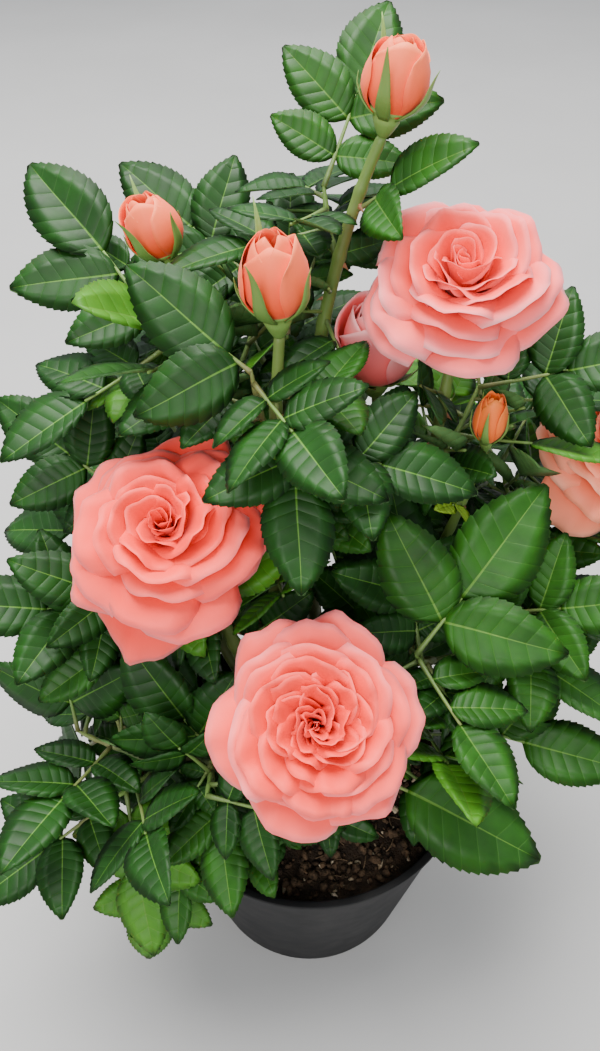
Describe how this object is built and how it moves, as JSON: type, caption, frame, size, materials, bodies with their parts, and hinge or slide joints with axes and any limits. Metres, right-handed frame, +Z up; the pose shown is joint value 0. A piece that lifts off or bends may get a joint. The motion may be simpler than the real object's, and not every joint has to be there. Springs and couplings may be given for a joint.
{
  "type": "potted rose bush",
  "caption": "Potted rose bush with coral double blooms and buds on slender canes over dense glossy leaves, in a round dark nursery pot.",
  "frame": {"origin": "centre of the pot's flat underside", "axes": "+Z up, -Y towards the front of the plant, the side that the picture looks at"},
  "size_m": [0.2475, 0.2125, 0.3233],
  "materials": {
    "pot": "satin",
    "soil": "matte",
    "stem": "satin",
    "leaf": "satin",
    "petal": "matte",
    "bud": "matte"
  },
  "bodies": {
    "root": {"bloom_far_right": "petal", "bloom_front": "petal", "bloom_left": "petal", "bloom_right": "petal", "bough_back": "stem", "bough_back_left": "stem", "bough_back_right": "stem", "bough_front_left": "stem", "bough_left": "stem", "bough_left_low": "stem", "bough_right": "stem", "bough_right_low": "stem", "bud_centre": "bud", "bud_half_open": "bud", "bud_left": "bud", "bud_small": "bud", "bud_top": "bud", "cane_centre_bud": "stem", "cane_front_bloom": "stem", "cane_left_bloom": "stem", "cane_right_bloom": "stem", "cane_top_bud": "stem", "leaves_back": "leaf", "leaves_back_left": "leaf", "leaves_back_left_low": "leaf", "leaves_back_low": "leaf", "leaves_back_right": "leaf", "leaves_back_right_low": "leaf", "leaves_centre": "leaf", "leaves_centre_left": "leaf", "leaves_far_right": "leaf", "leaves_far_right_back": "leaf", "leaves_front": "leaf", "leaves_front_left": "leaf", "leaves_left": "leaf", "leaves_left_edge": "leaf", "leaves_left_inner": "leaf", "leaves_left_low": "leaf", "leaves_left_mid": "leaf", "leaves_right": "leaf", "leaves_right_front": "leaf", "leaves_right_low": "leaf", "leaves_right_upper": "leaf", "leaves_top": "leaf", "leaves_upper_back": "leaf", "leaves_upper_left": "leaf", "pot": "pot", "shoot_far_right_bloom": "stem", "shoot_half_open_bud": "stem", "shoot_left_bud": "stem", "shoot_small_bud": "stem", "soil": "soil"}
  },
  "joints": []
}
